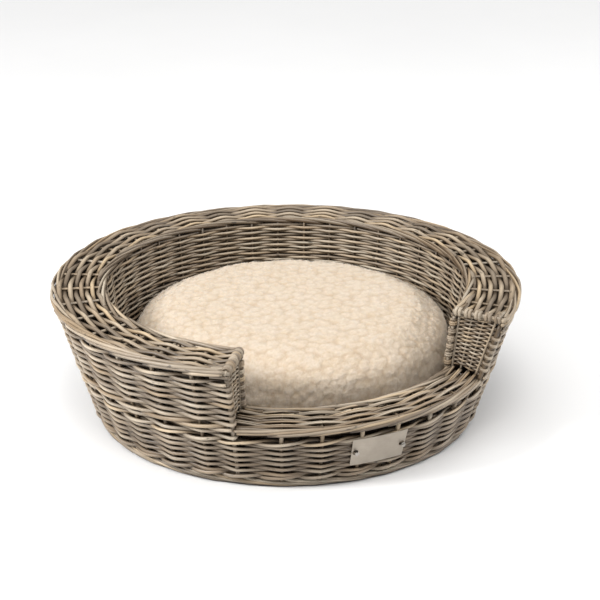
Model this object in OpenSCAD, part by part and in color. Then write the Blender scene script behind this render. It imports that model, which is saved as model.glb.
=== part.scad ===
// Round wicker pet bed basket with a cut-down front, a name plate and a loose round cushion.
// Z = 0 is the floor. The front, where the animal steps in, faces -Y.

/* [Overall] */
// Radius of the basket at its rim
rim_r = 350; // [335:1:365]
// Height of the rim at its outer edge
rim_z = 202; // [196:1:208]
// Radius of the foot on the floor
foot_r = 285; // [275:1:290]
// Radius of the inside of the bed at the floor
well_r = 244; // [240:1:248]
// Outward lean of the inside wall, in mm of radius per mm of height
well_lean = 0.112; // [0.10:0.002:0.124]

/* [Entry] */
// Half angle of the cut-down front
entry_half_deg = 39; // [37:0.5:41]
// Height of the sill at its outer edge
sill_z = 103; // [99:1:106]
// Rise of the sill towards the inside, in mm per mm of radius
sill_rise = 0.2; // [0.16:0.01:0.24]

/* [Weave] */
// Thickness of the outer woven wall
outer_wall_t = 9; // [8:0.5:11]
// Thickness of the inner woven wall
inner_wall_t = 7; // [6:0.5:8]
// Upright stakes in the outer wall
outer_stake_count = 34; // [34:1:34]
// Upright stakes in the inner wall
inner_stake_count = 40; // [40:1:40]
// Diameter of an outer stake
outer_stake_d = 5; // [4:0.2:5.4]
// Diameter of an inner stake
inner_stake_d = 3.2; // [2.8:0.2:3.6]
// Sticks crossed in the base
base_stick_count = 8; // [6:1:10]

/* [End panels] */
// Diameter of the outer corner posts
outer_post_d = 6; // [5:0.5:6.5]
// Diameter of the inner corner posts
inner_post_d = 4.6; // [4:0.2:5]
// Thickness of the woven end panels
panel_t = 5; // [4:0.5:5]
// Wrapped bands on each post
lashing_count = 5; // [3:1:6]

/* [Name plate] */
// Width of the plate round the wall
plate_w = 84; // [70:1:96]
// Height of the plate
plate_h = 48; // [40:1:50]
// Thickness of the plate
plate_t = 1.2; // [0.8:0.1:2]
// Diameter of the pins that hold the plate
pin_d = 3; // [2:0.5:4]
// Radius of the pins' flat heads
pin_head_r = 4.2; // [3:0.2:4.4]

/* [Cushion] */
// Radius of the cushion
cushion_r = 238; // [225:1:238]
// Height of the cushion at its seam, above the base
seam_h = 76; // [60:1:78]
// Crown of the cushion above its seam
crown_h = 80; // [60:1:84]
// Thickness of the plush cover
cover_t = 4; // [3:0.5:6]
// Offset of the cushion to the right of the middle
cushion_dx = 10; // [0:1:10]

/* [Zip] */
// Half angle of the zip round the cushion
zip_half_deg = 32; // [20:1:40]
// Middle of the zip, from the front, on the side where the cushion stands clear of the wall
zip_mid_deg = 215; // [205:1:240]
// Length of the zip slider
slider_len = 12; // [10:1:14]

/* [Hidden] */

willow = [0.68, 0.61, 0.52];
dark_willow = [0.55, 0.48, 0.39];
plush = [0.93, 0.86, 0.76];
metal = [0.70, 0.66, 0.59];
$fn = 72;

fit_gap = 0.2;                   // between pieces woven tightly together
soft_gap = 0.4;                  // between the cushion and the basket
ring_start_deg = 2.6;
end_gap_deg = 1.4;               // between a corner post and the end of a wall
border_r = 5.2;                  // rim and sill borders, as one round bundle of rods
inner_border_r = 3.9;
foot_bundle_r = 6;
foot_bundle_z = 5.6;             // a little under its radius, so the foot has a flat

// Outer wall, given at the middle of its thickness
outer_foot_r = foot_r - foot_bundle_r;
outer_lean = (rim_r - foot_r) / rim_z;
function outer_mid(z) = outer_foot_r + outer_lean * z;
function inner_face(z) = well_r + well_lean * z;
function inner_mid(z) = inner_face(z) + inner_wall_t / 2;

// Levels, from the floor up
base_low_z = 2.6;
base_stick_d = 4.6;
slath_r = 30;
base_skin_t = 2.4;
base_stick_z = base_low_z + base_skin_t + fit_gap + base_stick_d / 2;
base_top_z = base_stick_z + base_stick_d / 2 + fit_gap + base_skin_t;
foot_wale_z = 12;
siding_low_z = 22;
sill_gap_z = sill_z - 2 * border_r - 8;
mid_wale_z = 96;
siding_up_z = 107;
rim_wale_z = rim_z - 26;
rim_gap_z = rim_z - 18;
rim_border_z = rim_z - border_r;
inner_border_z = rim_z + 1.5 - inner_border_r;

// The sill, whose top rises from its outer edge to its inner edge
sill_outer_r = outer_mid(sill_z - border_r) + 1;
sill_inner_r = inner_mid(sill_z) + 1;
sill_top_in_z = sill_z + sill_rise * (sill_outer_r - sill_inner_r);
sill_inner_bead_z = sill_top_in_z - inner_border_r;
sill_split_z = sill_inner_bead_z - inner_border_r - fit_gap;
weave_t = 5.6;                   // thickness of the shelf and sill weave
rib_d = 3;

// The basket's own axis is behind the middle of its footprint, because the front is cut down
axis_y = -(rim_r - (sill_outer_r + border_r)) / 2;

// Angles are measured from the front, positive to the right
wall_start = entry_half_deg + end_gap_deg;
sill_half_deg = entry_half_deg - end_gap_deg;

function stake_angles(count) = [for (i = [0 : count - 1]) (i + 0.5) * 360 / count];
function from_front(a) = min(a, 360 - a);
function wall_angles(count) =
  [for (a = stake_angles(count)) if (from_front(a) > wall_start + 1) a];
function front_angles(count) =
  [for (a = stake_angles(count)) if (from_front(a) < entry_half_deg - 180 / count) a];

module on_axis() {
  translate([0, axis_y, 0]) children();
}

// Turns a part drawn in the XZ plane so that it points at angle a from the front
module at_angle(a) {
  rotate([0, 0, a - 90]) children();
}

// Turns a profile all round the basket, starting between two stakes
module full_ring() {
  rotate([0, 0, ring_start_deg]) rotate_extrude() children();
}

// Turns a profile round the back and sides, leaving the entry open
module open_ring() {
  at_angle(wall_start) rotate_extrude(angle = 360 - 2 * wall_start) children();
}

// Turns a profile across the entry only
module entry_arc() {
  at_angle(-sill_half_deg) rotate_extrude(angle = 2 * sill_half_deg) children();
}

// A leaning band between two heights: radius at z is mid + lean * z, thickness t
module band(mid0, lean, z0, z1, t) {
  polygon([
    [mid0 + lean * z0 - t / 2, z0], [mid0 + lean * z0 + t / 2, z0],
    [mid0 + lean * z1 + t / 2, z1], [mid0 + lean * z1 - t / 2, z1]
  ]);
}

module outer_band(z0, z1, t) {
  band(outer_foot_r, outer_lean, z0, z1, t);
}

module inner_band(z0, z1) {
  band(well_r + inner_wall_t / 2, well_lean, z0, z1, inner_wall_t);
}

module bead(r, z, bead_r) {
  translate([r, z]) circle(r = bead_r, $fn = 32);
}

// A straight round stick between two points of the XZ plane
module stick(p0, p1, d) {
  run = p1 - p0;
  translate([p0[0], 0, p0[1]])
    rotate([0, atan2(run[0], run[1]), 0])
      cylinder(d = d, h = norm(run), $fn = 24);
}

module outer_stick(z0, z1, d) {
  stick([outer_mid(z0), z0], [outer_mid(z1), z1], d);
}

module inner_stick(z0, z1, d) {
  stick([inner_mid(z0), z0], [inner_mid(z1), z1], d);
}

// The channels that the uprights run in, for the walls to be cut with
module outer_channels() {
  z0 = 0;
  z1 = rim_z + 20;
  for (a = wall_angles(outer_stake_count)) at_angle(a) outer_stick(z0, z1, outer_stake_d + 2 * fit_gap);
  for (a = front_angles(outer_stake_count)) at_angle(a) outer_stick(z0, z1, outer_stake_d + 2 * fit_gap);
  for (side = [-1, 1])
    at_angle(side * entry_half_deg) outer_stick(z0, z1, outer_post_d + 2 * fit_gap);
}

module inner_channels() {
  z0 = 0;
  z1 = rim_z + 20;
  for (a = wall_angles(inner_stake_count)) at_angle(a) inner_stick(z0, z1, inner_stake_d + 2 * fit_gap);
  for (a = front_angles(inner_stake_count)) at_angle(a) inner_stick(z0, z1, inner_stake_d + 2 * fit_gap);
  for (side = [-1, 1])
    at_angle(side * entry_half_deg) inner_stick(z0, z1, inner_post_d + 2 * fit_gap);
}

// ---- Base and foot ----

// The bound centre where the base sticks cross
module base_slath() {
  color(dark_willow) on_axis()
    translate([0, 0, base_stick_z - base_stick_d / 2]) cylinder(r = slath_r, h = base_stick_d);
}

// Each stick crosses the slath, so it shows as two arms
module base_sticks() {
  reach = outer_foot_r - foot_bundle_r - fit_gap;
  color(dark_willow) on_axis()
    for (i = [0 : 2 * base_stick_count - 1])
      at_angle(i * 180 / base_stick_count)
        stick([slath_r + fit_gap, base_stick_z], [reach, base_stick_z], base_stick_d);
}

module base_weave() {
  disc_r = outer_foot_r - foot_bundle_r - fit_gap;
  color(willow) on_axis()
    for (z = [base_low_z, base_top_z - base_skin_t])
      translate([0, 0, z]) cylinder(r = disc_r, h = base_skin_t);
}

module foot_border() {
  color(willow) on_axis() full_ring()
    intersection() {
      bead(outer_foot_r, foot_bundle_z, foot_bundle_r);
      translate([outer_foot_r - foot_bundle_r, 0]) square([2 * foot_bundle_r, 2 * foot_bundle_r]);
    }
}

module foot_wale() {
  color(willow) on_axis() difference() {
    full_ring() outer_band(foot_wale_z, siding_low_z, outer_wall_t + 2);
    outer_channels();
  }
}

// ---- Outer wall ----

module outer_stakes() {
  color(dark_willow) on_axis() {
    for (a = wall_angles(outer_stake_count))
      at_angle(a) outer_stick(foot_wale_z, rim_border_z - border_r, outer_stake_d);
    for (a = front_angles(outer_stake_count))
      at_angle(a) outer_stick(foot_wale_z, sill_z - 2 * border_r - 1, outer_stake_d);
  }
}

// The siding stops lower across the entry, to leave the row of open stakes under the sill
module outer_siding_lower() {
  color(willow) on_axis() difference() {
    full_ring() outer_band(siding_low_z, mid_wale_z, outer_wall_t);
    at_angle(-wall_start) rotate_extrude(angle = 2 * wall_start)
      translate([well_r, sill_gap_z]) square([rim_r - well_r, mid_wale_z]);
    outer_channels();
    for (side = [-1, 1]) plate_pin_hole(side);
  }
}

module mid_wale() {
  color(willow) on_axis() difference() {
    open_ring() outer_band(mid_wale_z, siding_up_z, outer_wall_t + 3);
    outer_channels();
  }
}

module outer_siding_upper() {
  color(willow) on_axis() difference() {
    open_ring() outer_band(siding_up_z, rim_wale_z, outer_wall_t);
    outer_channels();
  }
}

module rim_wale() {
  color(willow) on_axis() difference() {
    open_ring() outer_band(rim_wale_z, rim_gap_z, outer_wall_t + 2);
    outer_channels();
  }
}

// ---- Rim shelf ----

shelf_outer_r = rim_r - 2 * border_r - fit_gap;
rim_inner_r = inner_mid(inner_border_z) + 1;
shelf_inner_r = rim_inner_r + inner_border_r + fit_gap;
shelf_rise = 1.5 / (shelf_outer_r - shelf_inner_r);
function shelf_mid_z(r) = rim_z - weave_t / 2 - 0.4 + shelf_rise * (shelf_outer_r - r);

module rim_border_outer() {
  color(willow) on_axis() open_ring() bead(rim_r - border_r, rim_border_z, border_r);
}

module rim_border_inner() {
  color(willow) on_axis() open_ring() bead(rim_inner_r, inner_border_z, inner_border_r);
}

module shelf_rib(r0, r1, d) {
  stick([r0, shelf_mid_z(r0)], [r1, shelf_mid_z(r1)], d);
}

module shelf_ribs() {
  color(dark_willow) on_axis()
    for (a = wall_angles(outer_stake_count))
      at_angle(a) shelf_rib(shelf_inner_r + fit_gap, shelf_outer_r - fit_gap, rib_d);
}

module shelf_weave() {
  color(willow) on_axis() difference() {
    open_ring() polygon([
      [shelf_inner_r, shelf_mid_z(shelf_inner_r) - weave_t / 2],
      [shelf_outer_r, shelf_mid_z(shelf_outer_r) - weave_t / 2],
      [shelf_outer_r, shelf_mid_z(shelf_outer_r) + weave_t / 2],
      [shelf_inner_r, shelf_mid_z(shelf_inner_r) + weave_t / 2]
    ]);
    for (a = wall_angles(outer_stake_count))
      at_angle(a) shelf_rib(shelf_inner_r - 4, shelf_outer_r + 4, rib_d + 2 * fit_gap);
  }
}

// ---- Inner wall ----

module inner_stakes() {
  color(dark_willow) on_axis() {
    for (a = wall_angles(inner_stake_count))
      at_angle(a) inner_stick(base_top_z + fit_gap, inner_border_z - inner_border_r, inner_stake_d);
    for (a = front_angles(inner_stake_count))
      at_angle(a) inner_stick(base_top_z + fit_gap, sill_split_z, inner_stake_d);
  }
}

module inner_siding_lower() {
  color(willow) on_axis() difference() {
    full_ring() inner_band(base_top_z + fit_gap, sill_split_z);
    inner_channels();
  }
}

module inner_siding_upper() {
  color(willow) on_axis() difference() {
    open_ring() inner_band(sill_split_z, inner_border_z - inner_border_r);
    inner_channels();
  }
}

// ---- Sill across the entry ----

sill_weave_r0 = sill_inner_r + inner_border_r + fit_gap;
sill_weave_r1 = sill_outer_r - border_r - fit_gap;
function sill_mid_z(r) = sill_z - weave_t / 2 - 0.6 + sill_rise * (sill_outer_r - r);

module sill_rib(r0, r1, d) {
  stick([r0, sill_mid_z(r0)], [r1, sill_mid_z(r1)], d);
}

module sill_ribs() {
  color(dark_willow) on_axis()
    for (a = front_angles(outer_stake_count))
      at_angle(a) sill_rib(sill_weave_r0 + fit_gap, sill_weave_r1 - fit_gap, rib_d);
}

module sill_weave() {
  color(willow) on_axis() difference() {
    entry_arc() polygon([
      [sill_weave_r0, sill_mid_z(sill_weave_r0) - weave_t / 2],
      [sill_weave_r1, sill_mid_z(sill_weave_r1) - weave_t / 2],
      [sill_weave_r1, sill_mid_z(sill_weave_r1) + weave_t / 2],
      [sill_weave_r0, sill_mid_z(sill_weave_r0) + weave_t / 2]
    ]);
    for (a = front_angles(outer_stake_count))
      at_angle(a) sill_rib(sill_weave_r0 - 4, sill_weave_r1 + 4, rib_d + 2 * fit_gap);
  }
}

module sill_border_outer() {
  color(willow) on_axis() entry_arc() bead(sill_outer_r, sill_z - border_r, border_r);
}

module sill_border_inner() {
  color(willow) on_axis() entry_arc() bead(sill_inner_r, sill_inner_bead_z, inner_border_r);
}

// ---- End panels, one each side of the entry ----

rail_in_z = inner_border_z;
rail_out_z = rim_border_z;
panel_inset = 6.2;               // from a post's axis to the edge of the panel
panel_top_gap = 7;
panel_back = 1;                  // the panel sits a little behind the posts
lashing_r = 5.2;
lashing_h = 8;

module end_frame(side) {
  color(willow) on_axis() at_angle(side * entry_half_deg) {
    outer_stick(foot_wale_z, rail_out_z, outer_post_d);
    inner_stick(base_top_z + fit_gap, rail_in_z, inner_post_d);
    stick([inner_mid(rail_in_z), rail_in_z], [outer_mid(rail_out_z), rail_out_z], outer_post_d);
  }
}

function panel_low_z(r) = sill_mid_z(r) + weave_t / 2 + 2;

module panel_outline() {
  z0_in = panel_low_z(inner_mid(sill_z));
  z0_out = panel_low_z(outer_mid(sill_z));
  z1_in = rail_in_z - panel_top_gap;
  z1_out = rail_out_z - panel_top_gap;
  polygon([
    [inner_mid(z0_in) + panel_inset, z0_in],
    [outer_mid(z0_out) - panel_inset, z0_out],
    [outer_mid(z1_out) - panel_inset, z1_out],
    [inner_mid(z1_in) + panel_inset, z1_in]
  ]);
}

// A stick up the panel, part way from the inner to the outer post
module panel_stick(part, z0, z1, d) {
  r0 = inner_mid(z0) + part * (outer_mid(z0) - inner_mid(z0));
  r1 = inner_mid(z1) + part * (outer_mid(z1) - inner_mid(z1));
  stick([r0, z0], [r1, z1], d);
}

panel_parts = [1 / 3, 2 / 3];
panel_stake_d = 2.4;

module end_panel(side) {
  color(willow) on_axis() at_angle(side * entry_half_deg)
    translate([0, side * panel_back, 0]) difference() {
      rotate([90, 0, 0]) linear_extrude(panel_t, center = true) panel_outline();
      for (part = panel_parts)
        panel_stick(part, sill_z, rim_z, panel_stake_d + 2 * fit_gap);
    }
}

module panel_stakes(side) {
  color(dark_willow) on_axis() at_angle(side * entry_half_deg)
    translate([0, side * panel_back, 0])
      for (part = panel_parts)
        panel_stick(part, sill_z + 13, rail_out_z - panel_top_gap, panel_stake_d);
}

// A wrapped band: a short tube round a stick that runs from p0 to p1, part way along it
module lashing(p0, p1, part, stick_d) {
  run = p1 - p0;
  mid = p0 + part * run;
  translate([mid[0], 0, mid[1]])
    rotate([0, atan2(run[0], run[1]), 0])
      difference() {
        cylinder(r = lashing_r, h = lashing_h, center = true, $fn = 24);
        cylinder(d = stick_d + 2 * fit_gap, h = 2 * lashing_h, center = true, $fn = 24);
      }
}

module post_lashings(side) {
  low = sill_top_in_z + lashing_h;
  high = rim_z - 18;
  color(dark_willow) on_axis() at_angle(side * entry_half_deg) {
    for (i = [0 : lashing_count - 1]) {
      part = i / (lashing_count - 1);
      lashing([outer_mid(low), low], [outer_mid(high), high], part, outer_post_d);
      lashing([inner_mid(low), low], [inner_mid(high), high], part, inner_post_d);
    }
    for (part = [0.2, 0.4, 0.6, 0.8])
      lashing([inner_mid(rail_in_z), rail_in_z], [outer_mid(rail_out_z), rail_out_z],
        part, outer_post_d);
  }
}

// ---- Name plate ----

plate_mid_z = 56;
plate_gap = 0.3;
plate_mid_r = outer_mid(plate_mid_z) + outer_wall_t / 2 + plate_gap + plate_t / 2;
plate_half_deg = plate_w / 2 / plate_mid_r * 180 / PI;
pin_deg = plate_half_deg - 1.1;
pin_head_t = 1;

// A round shape square to the leaning wall, at one of the pins
module pin_shape(side, from, to, r) {
  at_angle(side * pin_deg) translate([plate_mid_r, 0, plate_mid_z])
    rotate([0, 90 + atan(outer_lean), 0])
      translate([0, 0, from]) cylinder(r = r, h = to - from, $fn = 24);
}

// The pin's way through the weave
module plate_pin_hole(side) {
  pin_shape(side, -20, 10, pin_d / 2 + fit_gap);
}

module name_plate() {
  lean_h = plate_h / 2 * cos(atan(outer_lean));
  color(metal) on_axis() difference() {
    at_angle(-plate_half_deg) rotate_extrude(angle = 2 * plate_half_deg, $fn = 144)
      band(plate_mid_r - outer_lean * plate_mid_z, outer_lean,
        plate_mid_z - lean_h, plate_mid_z + lean_h, plate_t);
    for (side = [-1, 1]) pin_shape(side, -10, 10, pin_head_r + fit_gap);
  }
}

// Each flat head lies in its hole in the plate
module plate_pins() {
  leg = outer_wall_t + 5;
  color(metal) on_axis() for (side = [-1, 1]) {
    pin_shape(side, -leg, 0, pin_d / 2);
    pin_shape(side, -pin_head_t / 2, pin_head_t / 2, pin_head_r);
  }
}

// ---- Cushion ----

cushion_z = base_top_z + soft_gap;
seam_z = cushion_z + seam_h;
puff = 4;                        // how square the cushion's section is
section_steps = 12;
piping_r = 2.5;
side_h = 14;                     // flat side band that the zip is sewn to

module on_cushion() {
  translate([cushion_dx, axis_y, 0]) children();
}

// Points of a rounded quarter section, from the side towards the middle
function quarter(r, h) = [
  for (i = [0 : section_steps])
    let (a = 90 * i / section_steps)
    [r * pow(cos(a), 2 / puff), h * pow(sin(a), 2 / puff)]
];

// Half section of the cushion, pulled in by inset from its outside
module pillow(inset) {
  up = quarter(cushion_r - inset, crown_h - side_h / 2 - inset);
  down = quarter(cushion_r - inset, seam_h - side_h / 2 - inset);
  polygon(concat(
    [for (p = up) [p[0], seam_z + side_h / 2 + p[1]]],
    [for (i = [section_steps : -1 : 0]) [down[i][0], seam_z - side_h / 2 - down[i][1]]]
  ));
}

module cushion_filling() {
  color("white") on_cushion() rotate_extrude() pillow(cover_t + fit_gap);
}

// One half of the plush cover, above or below the seam
module cover_half(low_z, high_z) {
  color(plush) on_cushion() rotate_extrude() intersection() {
    difference() {
      pillow(0);
      pillow(cover_t);
    }
    translate([0, low_z]) square([cushion_r, high_z - low_z]);
  }
}

module cushion_top_cover() {
  cover_half(seam_z, seam_z + crown_h);
}

module cushion_bottom_cover() {
  cover_half(seam_z - seam_h, seam_z);
}

// The piping is sewn round the seam, except where the zip is
module cushion_piping() {
  start = zip_mid_deg + zip_half_deg + 2;
  color(plush) on_cushion() at_angle(start)
    rotate_extrude(angle = 360 - 2 * zip_half_deg - 4) bead(cushion_r + piping_r, seam_z, piping_r);
}

// ---- Zip ----

tape_t = 0.8;
teeth_r = cushion_r + tape_t;
teeth_t = 2.2;
teeth_h = 4;
slider_gap = 0.3;
slider_t = 1.6;
slider_h = teeth_h + 2 * slider_gap + 2 * slider_t;
slider_r0 = teeth_r + slider_gap;
slider_r1 = teeth_r + teeth_t + slider_gap + slider_t;
slider_start = zip_mid_deg + zip_half_deg - 3;   // closed
lug_pin_r = 0.8;
lug_ear_t = 1;
lug_ear_gap = 2;                 // from the middle to each ear
pull_eye_r = 2.1;
pull_drop = 11;

module ring_part(half_deg, r0, t, h) {
  at_angle(zip_mid_deg - half_deg) rotate_extrude(angle = 2 * half_deg)
    translate([r0, seam_z - h / 2]) square([t, h]);
}

module zip_tape() {
  color("white") on_cushion() ring_part(zip_half_deg, cushion_r, tape_t, side_h - 2);
}

module zip_teeth() {
  color(metal) on_cushion() ring_part(zip_half_deg - 1, teeth_r, teeth_t, teeth_h);
}

// The slider wraps the teeth from outside, and carries a lug for its pull
module zip_slider() {
  color(metal) on_cushion() at_angle(slider_start) {
    difference() {
      translate([slider_r0, -slider_len / 2, seam_z - slider_h / 2])
        cube([slider_r1 - slider_r0, slider_len, slider_h]);
      translate([slider_r0 - 1, -slider_len, seam_z - teeth_h / 2 - slider_gap])
        cube([teeth_t + slider_gap + 1, 2 * slider_len, teeth_h + 2 * slider_gap]);
    }
    lug_pin(lug_pin_r, 2 * (lug_ear_gap + lug_ear_t));
    for (side = [-1, 1])
      translate([slider_r1 - 0.2, side * (lug_ear_gap + lug_ear_t / 2) - lug_ear_t / 2, seam_z])
        cube([lug_pin_r + 1.8, lug_ear_t, 2 * lug_pin_r + 0.8]);
  }
}

// A round bar across the lug, along the zip
module lug_pin(r, h) {
  translate([slider_r1 + 1 + lug_pin_r, 0, seam_z + 1]) rotate([90, 0, 0])
    cylinder(r = r, h = h, center = true, $fn = 24);
}

module zip_pull() {
  eye_len = 2 * lug_ear_gap - 0.4;
  color(metal) on_cushion() at_angle(slider_start) difference() {
    union() {
      lug_pin(pull_eye_r - 0.4, eye_len);
      translate([slider_r1 + 1 + lug_pin_r - 0.6, -eye_len / 2, seam_z + 1 - pull_drop])
        cube([1.2, eye_len, pull_drop]);
    }
    lug_pin(lug_pin_r + 0.06, 2 * eye_len);
  }
}

base_slath();
base_sticks();
base_weave();
foot_border();
foot_wale();
outer_stakes();
outer_siding_lower();
mid_wale();
outer_siding_upper();
rim_wale();
rim_border_outer();
shelf_ribs();
shelf_weave();
rim_border_inner();
inner_stakes();
inner_siding_lower();
inner_siding_upper();
sill_ribs();
sill_weave();
sill_border_outer();
sill_border_inner();
end_frame(-1);  // end_frame_left
end_frame(1);  // end_frame_right
end_panel(-1);  // end_panel_left
end_panel(1);  // end_panel_right
panel_stakes(-1);  // panel_stakes_left
panel_stakes(1);  // panel_stakes_right
post_lashings(-1);  // post_lashings_left
post_lashings(1);  // post_lashings_right
name_plate();
plate_pins();
cushion_filling();
cushion_top_cover();
cushion_bottom_cover();
cushion_piping();
zip_tape();
zip_teeth();
zip_slider();
zip_pull();
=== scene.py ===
"""Looks of the wicker pet bed: every rod of the weave, the plush cushion, the plate and the studio."""

import math

import bpy
import numpy as np
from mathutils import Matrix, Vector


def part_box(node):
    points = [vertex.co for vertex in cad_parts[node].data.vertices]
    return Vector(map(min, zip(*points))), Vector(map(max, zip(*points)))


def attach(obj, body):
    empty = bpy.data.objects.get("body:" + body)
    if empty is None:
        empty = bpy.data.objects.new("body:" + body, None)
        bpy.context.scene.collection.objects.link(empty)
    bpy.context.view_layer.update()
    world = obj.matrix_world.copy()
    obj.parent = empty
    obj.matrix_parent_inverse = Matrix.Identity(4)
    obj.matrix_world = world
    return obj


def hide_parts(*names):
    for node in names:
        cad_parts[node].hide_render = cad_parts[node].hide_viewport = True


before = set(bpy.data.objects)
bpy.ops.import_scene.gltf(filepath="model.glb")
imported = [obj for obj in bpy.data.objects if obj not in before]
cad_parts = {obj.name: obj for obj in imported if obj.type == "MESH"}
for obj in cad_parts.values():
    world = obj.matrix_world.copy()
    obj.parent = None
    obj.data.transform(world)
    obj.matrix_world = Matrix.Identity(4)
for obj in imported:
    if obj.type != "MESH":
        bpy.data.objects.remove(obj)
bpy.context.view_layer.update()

MM = 0.001
RNG = np.random.default_rng(7)


# ---- Sizes read from the frame ----

def half_width(node):
    """Half of a CAD node's width, which is the outside radius of a round one."""
    low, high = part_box(node)
    return (high.x - low.x) / 2


foot_low, foot_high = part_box("foot_border")
AXIS = np.array([(foot_low.x + foot_high.x) / 2, (foot_low.y + foot_high.y) / 2, 0.0])
FOOT_R = half_width("foot_border")
RIM_R = half_width("rim_border_outer")
RIM_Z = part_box("rim_border_outer")[1].z
RIM_IN_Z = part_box("rim_border_inner")[1].z
SILL_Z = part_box("sill_border_outer")[1].z
SILL_IN_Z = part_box("sill_border_inner")[1].z
SILL_R = AXIS[1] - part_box("sill_border_outer")[0].y

BUNDLE_R = 6 * MM
OUTER_FOOT_R = FOOT_R - BUNDLE_R
OUTER_LEAN = (RIM_R - FOOT_R) / RIM_Z
INNER_T = 7 * MM
INNER_SPLIT_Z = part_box("inner_siding_lower")[1].z
INNER_TOP_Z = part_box("inner_siding_upper")[1].z
INNER_LEAN = (half_width("inner_siding_upper") - half_width("inner_siding_lower")) \
    / (INNER_TOP_Z - INNER_SPLIT_Z)
INNER_FOOT_R = half_width("inner_siding_lower") - INNER_T / 2 - INNER_LEAN * INNER_SPLIT_Z
BASE_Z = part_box("base_weave")[1].z

plate_low, plate_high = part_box("name_plate")
PLATE_Z = (plate_low.z + plate_high.z) / 2
PLATE_TALL = (plate_high.z - plate_low.z) / 2
PLATE_HALF = math.atan2((plate_high.x - plate_low.x) / 2, AXIS[1] - plate_low.y)

ENTRY = math.radians(39)
OUTER_STAKES = 34
INNER_STAKES = 40


def outer_r(z):
    """Radius of the middle of the outer wall at height z."""
    return OUTER_FOOT_R + OUTER_LEAN * z


def inner_r(z):
    """Radius of the middle of the inner wall at height z."""
    return INNER_FOOT_R + INNER_LEAN * z


def stake_angles(count, open_front):
    """Angles of the uprights from the front. A corner post takes the place of the stake by it."""
    step = 2 * math.pi / count
    angles = (np.arange(count) + 0.5) * step
    from_front = np.minimum(angles, 2 * math.pi - angles)
    nearest = np.argsort(abs(from_front - ENTRY))[:2]
    angles[nearest] = np.where(angles[nearest] < math.pi, ENTRY, 2 * math.pi - ENTRY)
    if open_front:
        angles = angles[(angles > ENTRY - 0.01) & (angles < 2 * math.pi - ENTRY + 0.01)]
    return angles


def around(theta, r, z):
    """Points at angle theta from the front, radius r from the basket's own axis, height z."""
    theta, r, z = np.broadcast_arrays(theta, r, z)
    return AXIS + np.stack([r * np.sin(theta), -r * np.cos(theta), z], -1)


def wobble(n, scale, size):
    """A smooth random wave of n points, about size in height, turning every scale points."""
    knots = max(4, int(n / scale) + 3)
    values = RNG.normal(0, size, knots)
    x = np.linspace(0, knots - 1.001, n)
    i = x.astype(int)
    t = x - i
    t = t * t * (3 - 2 * t)
    return values[i] * (1 - t) + values[np.minimum(i + 1, knots - 1)] * t


# ---- Swept rods ----

CUT_TONE = 0.9
CUT_WARMTH = 0.8
# Painted shade on the side of a rod turned away from the air.
PAINTED_SIDE_SHADE = 0.42


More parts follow.
